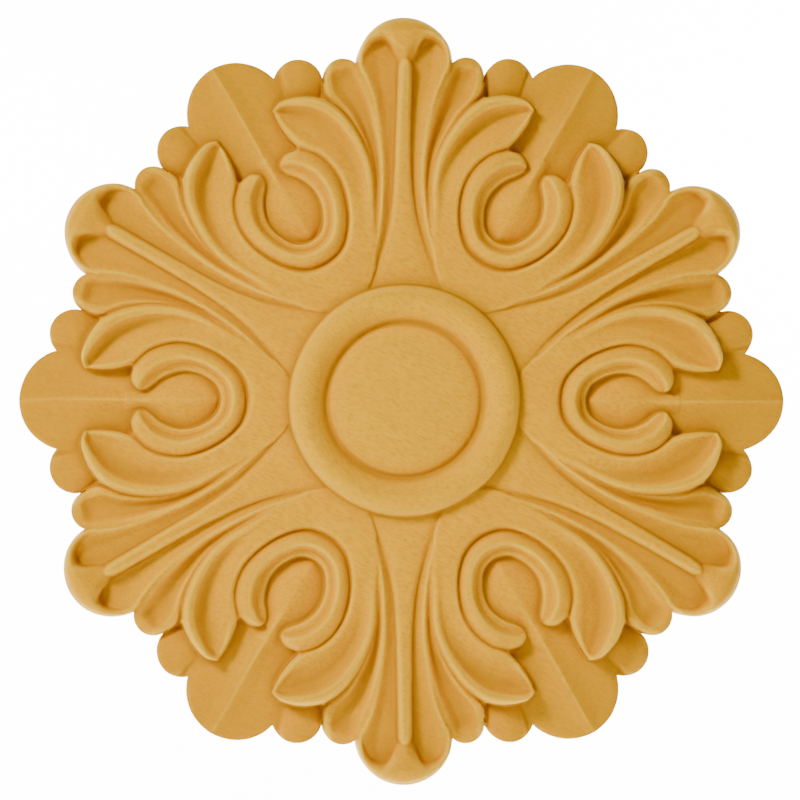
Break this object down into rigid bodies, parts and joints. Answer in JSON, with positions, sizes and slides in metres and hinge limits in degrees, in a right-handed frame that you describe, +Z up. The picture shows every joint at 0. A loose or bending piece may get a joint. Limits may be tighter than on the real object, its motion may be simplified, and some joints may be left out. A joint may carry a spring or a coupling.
{
  "type": "carved wooden rosette",
  "caption": "Round carved wooden rosette with leaves and scrolls radiating from a turned boss, a scalloped outline and a flat back, for fixing to a wall, ceiling or furniture.",
  "frame": {"origin": "centre of the flat back face, the face that lies on the wall", "axes": "+Z up through the tip of a leaf, +Y out of the back into the wall, +X to the right of a person who looks at the carving, which faces -Y"},
  "size_m": [0.25, 0.025, 0.25],
  "materials": {
    "beech": "honey-coloured beech under a thin satin clear finish, a little darker in the hollows and paler on the crests"
  },
  "bodies": {
    "root": {"rosette": "beech"}
  },
  "joints": []
}
